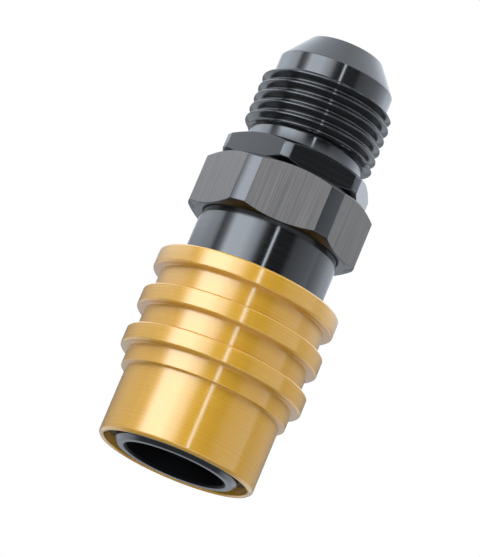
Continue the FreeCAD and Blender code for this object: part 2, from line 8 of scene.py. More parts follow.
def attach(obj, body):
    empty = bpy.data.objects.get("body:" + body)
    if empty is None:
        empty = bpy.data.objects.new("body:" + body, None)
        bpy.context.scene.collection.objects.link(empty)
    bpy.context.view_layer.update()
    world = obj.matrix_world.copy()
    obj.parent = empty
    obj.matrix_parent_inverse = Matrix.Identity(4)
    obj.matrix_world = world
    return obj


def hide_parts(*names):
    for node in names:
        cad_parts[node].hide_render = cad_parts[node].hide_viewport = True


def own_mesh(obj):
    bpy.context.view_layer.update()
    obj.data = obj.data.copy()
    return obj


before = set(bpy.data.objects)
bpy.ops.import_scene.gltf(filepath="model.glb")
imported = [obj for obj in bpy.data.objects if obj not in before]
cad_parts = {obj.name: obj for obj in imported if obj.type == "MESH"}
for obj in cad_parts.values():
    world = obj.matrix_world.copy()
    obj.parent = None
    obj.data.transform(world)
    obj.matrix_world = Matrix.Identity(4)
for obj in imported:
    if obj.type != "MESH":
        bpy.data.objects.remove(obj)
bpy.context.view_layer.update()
scene = bpy.context.scene
mm = 0.001  # sizes below are in millimetres, meshes are in metres
fullTurn = 2 * math.pi
mergeDistance = 1e-7  # metres; points nearer than this become one
cutDistance = 1e-8  # metres; points nearer than this to a cut lie on it
sharpDegrees = 32  # edges that turn by more than this stay crisp
print("frame loaded:", len(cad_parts), "nodes")


def linearColour(hexColour):  # sRGB hex to the linear colour that a socket takes
    channels = [int(hexColour[place:place + 2], 16) / 255 for place in (1, 3, 5)]
    return [c / 12.92 if c <= 0.04045 else ((c + 0.055) / 1.055) ** 2.4 for c in channels] + [1]


mixA, mixB, mixOut = 6, 7, 2  # a colour mix's inputs and result, whose names other sockets share


def addNode(tree, kind, settings, inputs):  # an input that is a socket is linked, any other is set
    node = tree.nodes.new(kind)
    for name, value in settings.items():
        setattr(node, name, value)
    for name, value in inputs.items():
        if isinstance(value, bpy.types.NodeSocket):
            tree.links.new(value, node.inputs[name])
        else:
            node.inputs[name].default_value = value
    return node


def newMaterial(name):
    material = bpy.data.materials.new(name)
    material.use_nodes = True
    material.node_tree.nodes.clear()
    return material, material.node_tree


# Tool marks as noise lines. They run round the axis: the noise changes along the axis and, by endShare,
# outwards too, which draws rings on end faces. On flats endShare is 0 and the lines are straight.
# Their gloss streaks across the lines: along the axis on a wall, outwards on an end face.
def latheLines(tree, spacing, endShare):
    place = addNode(tree, "ShaderNodeTexCoord", {}, {}).outputs["Object"]
    height = addNode(tree, "ShaderNodeSeparateXYZ", {}, {0: place}).outputs["Z"]
    across = addNode(tree, "ShaderNodeVectorMath", {"operation": "MULTIPLY"}, {0: place, 1: (1, 1, 0)})
    radius = addNode(tree, "ShaderNodeVectorMath", {"operation": "LENGTH"}, {0: across.outputs[0]})
    run = addNode(
        tree, "ShaderNodeMath", {"operation": "MULTIPLY_ADD"},
        {0: radius.outputs["Value"], 1: endShare, 2: height},
    )
    lineNumber = addNode(
        tree, "ShaderNodeMath", {"operation": "DIVIDE"}, {0: run.outputs[0], 1: spacing * mm},
    )
    lines = addNode(
        tree, "ShaderNodeTexNoise", {"noise_dimensions": "1D"},
        {"W": lineNumber.outputs[0], "Scale": 1, "Detail": 3, "Roughness": 0.6},
    )
    strong = addNode(
        tree, "ShaderNodeMapRange", {}, {"Value": lines.outputs[0], "From Min": 0.3, "From Max": 0.7},
    )
    outwards = addNode(tree, "ShaderNodeVectorMath", {"operation": "NORMALIZE"}, {0: across.outputs[0]})
    streak = addNode(
        tree, "ShaderNodeVectorMath", {"operation": "MULTIPLY_ADD"},
        {0: outwards.outputs[0], 1: (0.2, 0.2, 0), 2: (0, 0, 1)},
    )
    return strong.outputs[0], streak.outputs[0]


# Turned aluminium, anodised black: a hard dyed oxide skin, dark with a satin gloss that
# shows the studio in bands, and faint lathe lines
blackTurned = {
    "name": "anodisedAluminiumBlackTurned", "dark": "#040405", "light": "#0b0b0d",
    "linePitch": 0.22,  # real lines are about 0.05 mm, too fine to show
    "endShare": 1.0, "lineDepth": 0.0012,
    "ior": 1.77, "shine": 0.5, "roughness": (0.11, 0.18), "anisotropy": 0.9,
}
# The same skin on the small hexagon, whose flats have straight marks of a face mill across them
blackFaced = blackTurned | {"name": "anodisedAluminiumBlackFaced", "endShare": 0.0}
# The same skin on the large hexagon's lower chamfer, which the tool cuts only at the corners; its gloss is
# halved, and the dimmer reflection there is painted shade
blackChamferShaded = blackTurned | {"name": "anodisedAluminiumBlackChamferPaintedShade", "shine": 0.25}
# The same skin in the bore, where the boring bar leaves it matt; its darker colour and near lack of gloss are
# painted shade, which keeps the mouth dark
blackBoredShaded = blackTurned | {
    "name": "anodisedAluminiumBlackBoredPaintedShade", "dark": "#030303", "light": "#070708",
    "shine": 0.04, "roughness": (0.4, 0.55), "anisotropy": 0.0,
}


def makeBlackTurned(look):
    material, tree = newMaterial(look["name"])
    lines, streak = latheLines(tree, look["linePitch"], look["endShare"])
    colour = addNode(
        tree, "ShaderNodeMix", {"data_type": "RGBA"},
        {"Factor": lines, mixA: linearColour(look["dark"]), mixB: linearColour(look["light"])},
    )
    gloss = addNode(
        tree, "ShaderNodeMapRange", {},
        {"Value": lines, "To Min": look["roughness"][0], "To Max": look["roughness"][1]},
    )
    relief = addNode(
        tree, "ShaderNodeBump", {}, {"Strength": 0.4, "Distance": look["lineDepth"] * mm, "Height": lines},
    )
    skin = addNode(
        tree, "ShaderNodeBsdfPrincipled", {},
        {
            "Base Color": colour.outputs[mixOut], "Roughness": gloss.outputs[0], "IOR": look["ior"],
            "Specular IOR Level": look["shine"], "Anisotropic": look["anisotropy"], "Tangent": streak,
            "Normal": relief.outputs[0],
        },
    )
    addNode(tree, "ShaderNodeOutputMaterial", {}, {"Surface": skin.outputs[0]})
    return material


blackSkin = makeBlackTurned(blackTurned)
facedSkin = makeBlackTurned(blackFaced)
shadedChamferSkin = makeBlackTurned(blackChamferShaded)
shadedBoreSkin = makeBlackTurned(blackBoredShaded)

# The same skin on the large hexagon's milled flats: cutter marks run along the axis, so the gloss spreads
# sideways. Their colour, a warm grey far paler than the black skin, is painted sheen, with the real marks in
# it
blackMilledSheen = {
    "name": "anodisedAluminiumBlackMilledPaintedSheen", "dark": "#302e2e", "light": "#716d6b",
    "markPitch": 0.17,  # drawn coarser than the real marks, to show
    "markLength": 14.0, "markDepth": 0.002, "ior": 1.77, "roughness": (0.42, 0.6), "anisotropy": 0.8,
}


def makeBlackMilled(look):
    material, tree = newMaterial(look["name"])
    place = addNode(tree, "ShaderNodeTexCoord", {}, {})
    markSize = (look["markPitch"], look["markPitch"], look["markLength"])
    stretched = addNode(
        tree, "ShaderNodeMapping", {},
        {"Vector": place.outputs["Object"], "Scale": [1 / (size * mm) for size in markSize]},
    )
    acrossMarks = addNode(
        tree, "ShaderNodeVectorMath", {"operation": "CROSS_PRODUCT"},
        {0: place.outputs["Normal"], 1: (0, 0, 1)},
    )
    marks = addNode(
        tree, "ShaderNodeTexNoise", {"noise_dimensions": "3D"},
        {"Vector": stretched.outputs[0], "Scale": 1, "Detail": 4, "Roughness": 0.65},
    )
    cut = addNode(
        tree, "ShaderNodeMapRange", {}, {"Value": marks.outputs[0], "From Min": 0.3, "From Max": 0.7},
    )
    # The two greys, both paler than the black skin, are painted sheen; the noise between them is the real
    # cutter marks
    colour = addNode(
        tree, "ShaderNodeMix", {"data_type": "RGBA"},
        {"Factor": cut.outputs[0], mixA: linearColour(look["dark"]), mixB: linearColour(look["light"])},
    )
    gloss = addNode(
        tree, "ShaderNodeMapRange", {},
        {"Value": cut.outputs[0], "To Min": look["roughness"][0], "To Max": look["roughness"][1]},
    )
    relief = addNode(
        tree, "ShaderNodeBump", {},
        {"Strength": 0.8, "Distance": look["markDepth"] * mm, "Height": marks.outputs[0]},
    )
    skin = addNode(
        tree, "ShaderNodeBsdfPrincipled", {},
        {
            "Base Color": colour.outputs[mixOut], "Roughness": gloss.outputs[0], "IOR": look["ior"],
            "Anisotropic": look["anisotropy"], "Tangent": acrossMarks.outputs[0],
            "Normal": relief.outputs[0],
        },
    )
    addNode(tree, "ShaderNodeOutputMaterial", {}, {"Surface": skin.outputs[0]})
    return material


milledSheenSkin = makeBlackMilled(blackMilledSheen)

# Turned aluminium, anodised gold: the dyed skin scatters a warm gold, and its clear surface
# puts pale, sharp reflections of the studio over it
goldTurned = {
    "name": "anodisedAluminiumGoldTurned", "deep": "#c99424", "pale": "#d8a52d",
    "linePitch": 0.2,  # real lines are about 0.08 mm, too fine to show
    "endShare": 1.0, "lineDepth": 0.002, "metallic": 0.7, "roughness": (0.48, 0.62), "anisotropy": 0.5,
    "coat": 1.0, "coatIor": 1.77, "coatRoughness": 0.12,
}


def makeGoldTurned(look):
    material, tree = newMaterial(look["name"])
    lines, streak = latheLines(tree, look["linePitch"], look["endShare"])
    colour = addNode(
        tree, "ShaderNodeMix", {"data_type": "RGBA"},
        {"Factor": lines, mixA: linearColour(look["deep"]), mixB: linearColour(look["pale"])},
    )
    gloss = addNode(
        tree, "ShaderNodeMapRange", {},
        {"Value": lines, "To Min": look["roughness"][0], "To Max": look["roughness"][1]},
    )
    relief = addNode(
        tree, "ShaderNodeBump", {}, {"Strength": 0.4, "Distance": look["lineDepth"] * mm, "Height": lines},
    )
    skin = addNode(
        tree, "ShaderNodeBsdfPrincipled", {},
        {
            "Base Color": colour.outputs[mixOut], "Metallic": look["metallic"], "Roughness": gloss.outputs[0],
            "Anisotropic": look["anisotropy"], "Tangent": streak, "Normal": relief.outputs[0],
            "Coat Weight": look["coat"], "Coat IOR": look["coatIor"],
            "Coat Roughness": look["coatRoughness"], "Coat Normal": relief.outputs[0],
        },
    )
    addNode(tree, "ShaderNodeOutputMaterial", {}, {"Surface": skin.outputs[0]})
    return material


goldSkin = makeGoldTurned(goldTurned)

# Inner pieces: spring wire, snap ring, balls, poppet and guide, seals and backup ring; each finish has
# a grain of its own size
innerFinishes = {
    "drawnSpringSteel": {  # grey metal with an uneven gloss from drawing
        "dark": "#6e6e72", "light": "#8d8d90", "metallic": 1.0, "roughness": (0.28, 0.42), "grainSize": 0.35,
    },
    "phosphatedSpringSteel": {  # dark and dull, as snap rings are
        "dark": "#1b1b1c", "light": "#29292a", "metallic": 0.0, "roughness": (0.5, 0.65), "grainSize": 0.3,
    },
    "groundBearingSteel": {  # bright mirror with a faint haze
        "dark": "#c2c2c6", "light": "#d0d0d3", "metallic": 1.0, "roughness": (0.05, 0.09), "grainSize": 0.6,
    },
    "turnedAluminium": {  # pale metal, matt beside the steel
        "dark": "#b4b4b6", "light": "#cacacb", "metallic": 1.0, "roughness": (0.25, 0.4), "grainSize": 0.3,
    },
    "mouldedNitrileRubber": {  # dull black
        "dark": "#0c0c0c", "light": "#161616", "metallic": 0.0, "roughness": (0.45, 0.6), "grainSize": 0.5,
    },
    "turnedPtfe": {  # waxy white
        "dark": "#d5d4cf", "light": "#e4e3df", "metallic": 0.0, "roughness": (0.4, 0.5), "grainSize": 0.4,
    },
}


def makeInnerFinish(name, look):
    material, tree = newMaterial(name)
    place = addNode(tree, "ShaderNodeTexCoord", {}, {}).outputs["Object"]
    grain = addNode(
        tree, "ShaderNodeTexNoise", {"noise_dimensions": "3D"},
        {"Vector": place, "Scale": 1 / (look["grainSize"] * mm), "Detail": 4, "Roughness": 0.6},
    )
    colour = addNode(
        tree, "ShaderNodeMix", {"data_type": "RGBA"},
        {"Factor": grain.outputs[0], mixA: linearColour(look["dark"]), mixB: linearColour(look["light"])},
    )
    gloss = addNode(
        tree, "ShaderNodeMapRange", {},
        {
            "Value": grain.outputs[0], "From Min": 0.3, "From Max": 0.7,
            "To Min": look["roughness"][0], "To Max": look["roughness"][1],
        },
    )
    skin = addNode(
        tree, "ShaderNodeBsdfPrincipled", {},
        {"Base Color": colour.outputs[mixOut], "Metallic": look["metallic"], "Roughness": gloss.outputs[0]},
    )
    addNode(tree, "ShaderNodeOutputMaterial", {}, {"Surface": skin.outputs[0]})
    return material


innerSkins = {name: makeInnerFinish(name, look) for name, look in innerFinishes.items()}
print("materials made:", len(bpy.data.materials))


def drawLine(bm, points, closed=False):  # a run of edges through the points
    corners = [bm.verts.new(point) for point in points]
    for first, second in zip(corners, corners[1:]):
        bm.edges.new((first, second))
    if closed:
        bm.edges.new((corners[-1], corners[0]))
    return corners


def spinRound(bm, steps, axis=(0, 0, 1)):  # a full turn of what is drawn, closed and facing outwards
    bmesh.ops.spin(
        bm, geom=bm.verts[:] + bm.edges[:], cent=(0, 0, 0), axis=axis, dvec=(0, 0, 0),
        angle=fullTurn, steps=steps, use_merge=True,
    )
    bmesh.ops.remove_doubles(bm, verts=bm.verts[:], dist=mergeDistance)
    bmesh.ops.recalc_face_normals(bm, faces=bm.faces[:])


# A profile is a list of (radius, height, rounding); one that isn't closed ends on the axis or stays open
def spinProfile(profile, steps=256, closed=True):
    bm = bmesh.new()
    corners = drawLine(bm, [(radius * mm, 0, height * mm) for radius, height, _ in profile], closed)
    for size in sorted({rounding for _, _, rounding in profile if rounding}):
        chosen = [corner for corner, spot in zip(corners, profile) if spot[2] == size]
        bmesh.ops.bevel(
            bm, geom=chosen, offset=size * mm, affect="VERTICES", segments=3, profile=0.5, material=-1,
        )
    spinRound(bm, steps)
    return bm


def millFlats(bm, flatRadius, turnDegrees, edge, materialIndex):  # cuts a turned shape to a hexagon
    rims = []
    for number in range(6):
        angle = math.radians(turnDegrees + 60 * number)
        outwards = Vector((math.sin(angle), -math.cos(angle), 0))
        cut = bmesh.ops.bisect_plane(
            bm, geom=bm.verts[:] + bm.edges[:] + bm.faces[:], dist=cutDistance,
            plane_co=outwards * flatRadius * mm, plane_no=outwards, clear_outer=True,
        )
        rim = [item for item in cut["geom_cut"] if isinstance(item, bmesh.types.BMEdge)]
        bmesh.ops.edgeloop_fill(bm, edges=rim, mat_nr=materialIndex)
        rims += rim
    bmesh.ops.bevel(
        bm, geom=rims, offset=edge * mm, affect="EDGES", segments=2, profile=0.5, material=-1,
    )
    bmesh.ops.recalc_face_normals(bm, faces=bm.faces[:])


def mergeInto(bm, other):  # adds the other mesh to this one and frees it
    holder = bpy.data.meshes.new("holder")
    other.to_mesh(holder)
    other.free()
    bm.from_mesh(holder)
    bpy.data.meshes.remove(holder)


def finishPiece(bm, name, body, materials, nodes):
    mesh = bpy.data.meshes.new(name)
    bm.to_mesh(mesh)
    bm.free()
    for material in materials:
        mesh.materials.append(material)
    mesh.shade_smooth()
    mesh.set_sharp_from_angle(angle=math.radians(sharpDegrees))
    piece = bpy.data.objects.new(name, mesh)
    scene.collection.objects.link(piece)
    evenShading = piece.modifiers.new("evenShading", "WEIGHTED_NORMAL")
    evenShading.keep_sharp = True
    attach(piece, body)
    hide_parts(*nodes)
    return piece


# Release sleeve: plain mouth section, band and three ribs outside, cam and spring seat inside
sleeve = {
    "front": 0.2, "mouthRadius": 10.496, "mouthChamfer": 0.18, "gripRadius": 11.246, "frontChamfer": 0.35,
    "bandRadius": 11.996, "bandLow": 10.1, "ribRadius": 13.19, "ribLows": (12.7, 18.55, 24.4),
    "ribWidth": 2.65, "ribChamfer": 0.2, "boreRadius": 10.146, "seat": 7.9, "landRadius": 9.01,
    "camTop": 6.02, "camRadius": 9.836, "shoulder": 2.55, "steps": 320,
}


def makeSleeve(size):
    profile = [
        (size["mouthRadius"] + size["mouthChamfer"], size["front"], 0.05),
        (size["gripRadius"] - size["frontChamfer"], size["front"], 0.06),
        (size["gripRadius"], size["front"] + size["frontChamfer"], 0.12),
        (size["gripRadius"], size["bandLow"], 0.06),
        (size["bandRadius"], size["bandLow"], 0.12),
    ]
    for low in size["ribLows"]:
        high = low + size["ribWidth"]
        profile += [
            (size["bandRadius"], low, 0.1),
            (size["ribRadius"] - size["ribChamfer"], low, 0.06),
            (size["ribRadius"], low + size["ribChamfer"], 0.08),
            (size["ribRadius"], high - size["ribChamfer"], 0.08),
            (size["ribRadius"] - size["ribChamfer"], high, 0.06),
        ]
        if low != size["ribLows"][-1]:
            profile.append((size["bandRadius"], high, 0.1))
    profile += [
        (size["boreRadius"], size["ribLows"][-1] + size["ribWidth"], 0.12),
        (size["boreRadius"], size["seat"], 0.0),
        (size["landRadius"], size["seat"], 0.05),
        (size["landRadius"], size["camTop"], 0.0),
        (size["camRadius"], size["shoulder"], 0.0),
        (size["mouthRadius"], size["shoulder"], 0.0),
        (size["mouthRadius"], size["front"] + size["mouthChamfer"], 0.05),
    ]
    bm = spinProfile(profile, size["steps"])
    piece = finishPiece(bm, "releaseSleeve", "sleeve", [goldSkin], ["release_sleeve"])


makeSleeve(sleeve)
print("sleeve done")

# Coupler body: nose with the stop ring's groove, barrel, hexagon, and the stepped bore
coupler = {
    "faceInner": 7.5, "faceOuter": 8.35, "faceChamfer": 0.6, "noseRadius": 8.95,
    "ringGrooveRadius": 8.45, "ringGrooveLow": 1.55, "ringGrooveTop": 2.55,
    "barrelRadius": 10.096, "barrelLow": 16.5, "neckDepth": 0.25, "neckHeight": 0.5,
    "hexLow": 34.2, "hexTop": 42.3, "flatRadius": 11.196, "cornerRadius": 12.296, "hexChamfer": 0.693,
    "hexTurn": 0, "hexInset": 0.1, "hexEdge": 0.07,
    "sealPocketRadius": 9.4, "sealPocketLow": 40.9, "shankBoreRadius": 8.25, "shankBoreLow": 35.85,
    "chamberRadius": 7.6, "chamberLow": 25.53, "seatRadius": 5.2, "seatTop": 23.13, "seatLow": 21.93,
    "boreRadius": 6.9, "sealGrooveRadius": 8.45, "sealGrooveLow": 17.0, "sealGrooveTop": 20.03,
    "leadRadius": 7.2, "leadTop": 2.6, "leadChamfer": 0.3,
    "shadedBoreWithin": 7.45,  # faces nearer to the axis than this have the matt skin with painted shade
    "shadedChamferTilt": (-0.95, -0.4),  # how far the lower chamfer's faces look down, as the normal's z; these get the painted shade
    "ballHeight": 5.1775, "ballCount": 8, "holeRadius": 1.6275, "holeMouthRadius": 1.4974,
    "holeCone": 0.3055, "holeSteps": 48,
    "holeReach": 0.4,  # how far the tool for the ball holes goes past the wall
    "weld": 0.001,  # edges shorter than this, left by the cut, are closed
}


def makeCoupler(size):
    hexRim = size["flatRadius"] - size["hexInset"]
    profile = [
        (size["faceInner"], 0, 0.05),
        (size["faceOuter"], 0, 0.08),
        (size["noseRadius"], size["faceChamfer"], 0.1),
        (size["noseRadius"], size["ringGrooveLow"], 0.04),
        (size["ringGrooveRadius"], size["ringGrooveLow"], 0),
        (size["ringGrooveRadius"], size["ringGrooveTop"], 0),
        (size["noseRadius"], size["ringGrooveTop"], 0.04),
        (size["noseRadius"], size["barrelLow"], 0),
        (size["barrelRadius"], size["barrelLow"], 0.15),
        (size["barrelRadius"], size["hexLow"] - size["neckHeight"], 0.05),
        (size["barrelRadius"] - size["neckDepth"], size["hexLow"] - size["neckHeight"], 0),
        (size["barrelRadius"] - size["neckDepth"], size["hexLow"], 0),
        (hexRim, size["hexLow"], 0.05),
        (size["cornerRadius"], size["hexLow"] + size["hexChamfer"], 0.1),
        (size["cornerRadius"], size["hexTop"] - size["hexChamfer"], 0.1),
        (hexRim, size["hexTop"], 0.05),
        (size["sealPocketRadius"], size["hexTop"], 0),
        (size["sealPocketRadius"], size["sealPocketLow"], 0),
        (size["shankBoreRadius"], size["sealPocketLow"], 0),
        (size["shankBoreRadius"], size["shankBoreLow"], 0),
        (size["chamberRadius"], size["shankBoreLow"], 0),
        (size["chamberRadius"], size["chamberLow"], 0),
        (size["seatRadius"], size["seatTop"], 0),
        (size["seatRadius"], size["seatLow"], 0),
        (size["boreRadius"], size["seatLow"], 0),
        (size["boreRadius"], size["sealGrooveTop"], 0.05),
        (size["sealGrooveRadius"], size["sealGrooveTop"], 0),
        (size["sealGrooveRadius"], size["sealGrooveLow"], 0),
        (size["boreRadius"], size["sealGrooveLow"], 0.05),
        (size["boreRadius"], size["leadTop"], 0.05),
        (size["leadRadius"], size["leadTop"], 0),
        (size["leadRadius"], size["leadChamfer"], 0.05),
    ]
    skins = [blackSkin, milledSheenSkin, shadedBoreSkin, shadedChamferSkin]
    bm = spinProfile(profile)
    millFlats(bm, size["flatRadius"], size["hexTurn"], size["hexEdge"], skins.index(milledSheenSkin))
    lowTilt, highTilt = size["shadedChamferTilt"]
    for face in bm.faces:
        centre = face.calc_center_median() / mm
        onChamfer = 0 < centre.z - size["hexLow"] < size["hexChamfer"]
        # Faces deep in the bore take the darker, nearly glossless skin: painted shade
        if centre.xy.length < size["shadedBoreWithin"]:
            face.material_index = skins.index(shadedBoreSkin)
        # The downward faces of the hexagon's lower chamfer take the duller skin: painted shade
        elif onChamfer and lowTilt < face.normal.z < highTilt:
            face.material_index = skins.index(shadedChamferSkin)
    piece = finishPiece(bm, "couplerBody", "coupler", skins, ["coupler_body"])
    return piece


# Tapered tools for the ball holes, one turned shape for each ball
def makeHoleTools(size):
    inner = size["boreRadius"]
    innerEnd = inner - size["holeReach"]
    outerEnd = size["noseRadius"] + size["holeReach"]
    outline = [
        (innerEnd, 0),
        (innerEnd, size["holeMouthRadius"]),
        (inner, size["holeMouthRadius"]),
        (inner + size["holeCone"], size["holeRadius"]),
        (outerEnd, size["holeRadius"]),
        (outerEnd, 0),
    ]
    halfStep = Matrix.Rotation(fullTurn / (2 * size["holeSteps"]), 4, "X")  # keeps its corners off the bore's
    lift = Matrix.Translation((0, 0, size["ballHeight"] * mm))
    tools = bmesh.new()
    for number in range(size["ballCount"]):
        tool = bmesh.new()
        drawLine(tool, [(along * mm, 0, radius * mm) for along, radius in outline])
        spinRound(tool, size["holeSteps"], axis=(1, 0, 0))
        turn = Matrix.Rotation(fullTurn * number / size["ballCount"], 4, "Z")
        bmesh.ops.transform(tool, matrix=lift @ (turn @ halfStep), verts=tool.verts[:])
        mergeInto(tools, tool)
    return tools


# The tools are cut out of the nose, and the result becomes the piece's own mesh
def cutBallHoles(piece, size):
    tools = makeHoleTools(size)
    toolMesh = bpy.data.meshes.new("ballHoleTools")
    tools.to_mesh(toolMesh)
    tools.free()
    toolPiece = bpy.data.objects.new("ballHoleTools", toolMesh)
    scene.collection.objects.link(toolPiece)
    cut = piece.modifiers.new("ballHoles", "BOOLEAN")
    cut.operation = "DIFFERENCE"
    cut.solver = "EXACT"
    cut.object = toolPiece
    piece.modifiers.move(len(piece.modifiers) - 1, 0)
    bpy.context.view_layer.update()
    evenShading = piece.modifiers["evenShading"]
    evenShading.show_viewport = False
    drilled = bpy.data.meshes.new_from_object(piece.evaluated_get(bpy.context.evaluated_depsgraph_get()))
    evenShading.show_viewport = True
    piece.modifiers.remove(cut)
    oldMesh = piece.data
    piece.data = drilled
    bpy.data.meshes.remove(oldMesh)
    bpy.data.objects.remove(toolPiece)
    bpy.data.meshes.remove(toolMesh)
    cleaned = bmesh.new()
    cleaned.from_mesh(drilled)
    bmesh.ops.dissolve_degenerate(cleaned, dist=size["weld"] * mm, edges=cleaned.edges[:])
    cleaned.to_mesh(drilled)
    cleaned.free()
    drilled.set_sharp_from_angle(angle=math.radians(sharpDegrees))


couplerPiece = makeCoupler(coupler)
cutBallHoles(couplerPiece, coupler)
print("coupler body done")

# Flare adapter: hexagon, neck, right-hand thread, plain end and 37 degree flare
adapter = {
    "shankRadius": 8.2, "shankLow": 37.35, "hexLow": coupler["hexTop"], "hexTop": 45.9, "flatRadius": 9.9,
    "cornerRadius": 11.05, "hexChamfer": 0.722, "hexTurn": 17, "hexInset": 0.1, "hexEdge": 0.06,
    "neckRadius": 8.301, "flowRadius": 4.95, "flareLow": 59.23, "flareTop": 63.133,
    "flareTipRadius": 5.36, "recessRadius": 6.2, "recessTop": 44.9,
}
thread = {
    "low": 47.95, "top": 56.45, "majorRadius": 9.525, "rootRadius": 8.551, "pitch": 1.5875, "crest": 0.198,
    "flankDegrees": 30, "rootBevel": 0.3965, "rootSegments": 6, "crestBevel": 0.04, "crestSegments": 2,
    "crestAt": 50.72,  # a crest's height on the -X side
    "endSlope": 2.0,  # how steeply the thread runs out at its ends
    "shortestFlank": 0.5, "flankCuts": 5, "stepsPerTurn": 128, "weld": 0.002, "endTolerance": 0.01,
}


# One pitch of the thread, from crest to crest, is swept round and up; both ends run out in a chamfer
def makeThread(bm, size):
    crest = size["crest"] / 2
    half = size["pitch"] / 2
    vee = size["majorRadius"] - (half - crest) / math.tan(math.radians(size["flankDegrees"]))
    turns = math.ceil((size["top"] - size["low"]) / size["pitch"]) + 3  # spare turns are cut off below
    below = math.ceil((size["crestAt"] - size["low"]) / size["pitch"]) + 1
    start = size["crestAt"] - below * size["pitch"]
    outline = [
        (size["majorRadius"], 0),
        (size["majorRadius"], crest),
        (vee, half),
        (size["majorRadius"], size["pitch"] - crest),
        (size["majorRadius"], size["pitch"]),
    ]
    sweep = bmesh.new()
    corners = drawLine(sweep, [(-radius * mm, 0, (start + up) * mm) for radius, up in outline])
    roundings = (
        ([corners[2]], size["rootBevel"], size["rootSegments"]),
        ([corners[1], corners[3]], size["crestBevel"], size["crestSegments"]),
    )
    for chosen, offset, segments in roundings:
        bmesh.ops.bevel(
            sweep, geom=chosen, offset=offset * mm, affect="VERTICES", segments=segments, profile=0.5,
            material=-1,
        )
    flanks = [edge for edge in sweep.edges if edge.calc_length() > size["shortestFlank"] * mm]
    bmesh.ops.subdivide_edges(sweep, edges=flanks, cuts=size["flankCuts"])
    bmesh.ops.spin(
        sweep, geom=sweep.verts[:] + sweep.edges[:], cent=(0, 0, 0), axis=(0, 0, 1), angle=turns * fullTurn,
        steps=turns * size["stepsPerTurn"], dvec=(0, 0, size["pitch"] * mm / size["stepsPerTurn"]),
    )
    bmesh.ops.remove_doubles(sweep, verts=sweep.verts[:], dist=size["weld"] * mm)
    for corner in sweep.verts:
        height = corner.co.z / mm
        inside = min(height - size["low"], size["top"] - height)
        radius = corner.co.xy.length / mm
        allowed = max(size["rootRadius"], min(radius, size["rootRadius"] + size["endSlope"] * inside))
        corner.co.xy *= allowed / radius
    for end, away in (("low", -1), ("top", 1)):
        bmesh.ops.bisect_plane(
            sweep, geom=sweep.verts[:] + sweep.edges[:] + sweep.faces[:], dist=cutDistance,
            plane_co=(0, 0, size[end] * mm), plane_no=(0, 0, away), clear_outer=True,
        )
    mergeInto(bm, sweep)
    # Each end of the thread is joined to the plain part beside it
    for end in ("low", "top"):
        openEdges = [edge for edge in bm.edges if edge.is_boundary]
        rings = [
            edge for edge in openEdges if abs(edge.verts[0].co.z / mm - size[end]) < size["endTolerance"]
        ]
        bmesh.ops.triangle_fill(bm, use_beauty=True, use_dissolve=False, edges=rings)
    bmesh.ops.recalc_face_normals(bm, faces=bm.faces[:])


def makeAdapter(size, threadSize):
    hexRim = size["flatRadius"] - size["hexInset"]
    profile = [
        (size["neckRadius"], threadSize["top"], 0),
        (size["neckRadius"], size["flareLow"], 0.12),
        (size["flareTipRadius"], size["flareTop"], 0.1),
        (size["flowRadius"], size["flareTop"], 0.08),
        (size["flowRadius"], size["recessTop"], 0),
        (size["recessRadius"], size["recessTop"], 0),
        (size["recessRadius"], size["shankLow"], 0),
        (size["shankRadius"], size["shankLow"], 0.1),
        (size["shankRadius"], size["hexLow"], 0),
        (hexRim, size["hexLow"], 0.05),
        (size["cornerRadius"], size["hexLow"] + size["hexChamfer"], 0.1),
        (size["cornerRadius"], size["hexTop"] - size["hexChamfer"], 0.1),
        (hexRim, size["hexTop"], 0.05),
        (size["neckRadius"], size["hexTop"], 0.2),
        (size["neckRadius"], threadSize["low"], 0),
    ]
    skins = [blackSkin, facedSkin]
    bm = spinProfile(profile, closed=False)
    millFlats(bm, size["flatRadius"], size["hexTurn"], size["hexEdge"], skins.index(facedSkin))
    makeThread(bm, threadSize)
    openEdges = [edge for edge in bm.edges if not edge.is_manifold]
    print("flare adapter:", len(bm.faces), "faces,", len(openEdges), "open edges")
    piece = finishPiece(bm, "flareAdapter", "coupler", skins, ["flare_adapter"])


makeAdapter(adapter, thread)
print("flare adapter done")

# Springs: round wire wound right-handed, each a plain coil between its lower and upper seats
springs = {
    "sleeveCoil": {
        "node": "sleeve_spring", "body": "spring", "joint": "sleeve_slide", "coilRadius": 9.548,
        "wireRadius": 0.448, "low": sleeve["seat"], "high": coupler["barrelLow"], "turns": 3.5, "travel": 4.2,
    },
    "valveCoil": {
        "node": "valve_spring", "body": "coupler", "joint": "poppet_slide", "coilRadius": 4.6,
        "wireRadius": 0.4, "low": 26.848, "high": coupler["shankBoreLow"], "turns": 5, "travel": 4.0,
    },
}
springWire = {"endGap": 0.03, "sides": 20, "stepsPerTurn": 96}


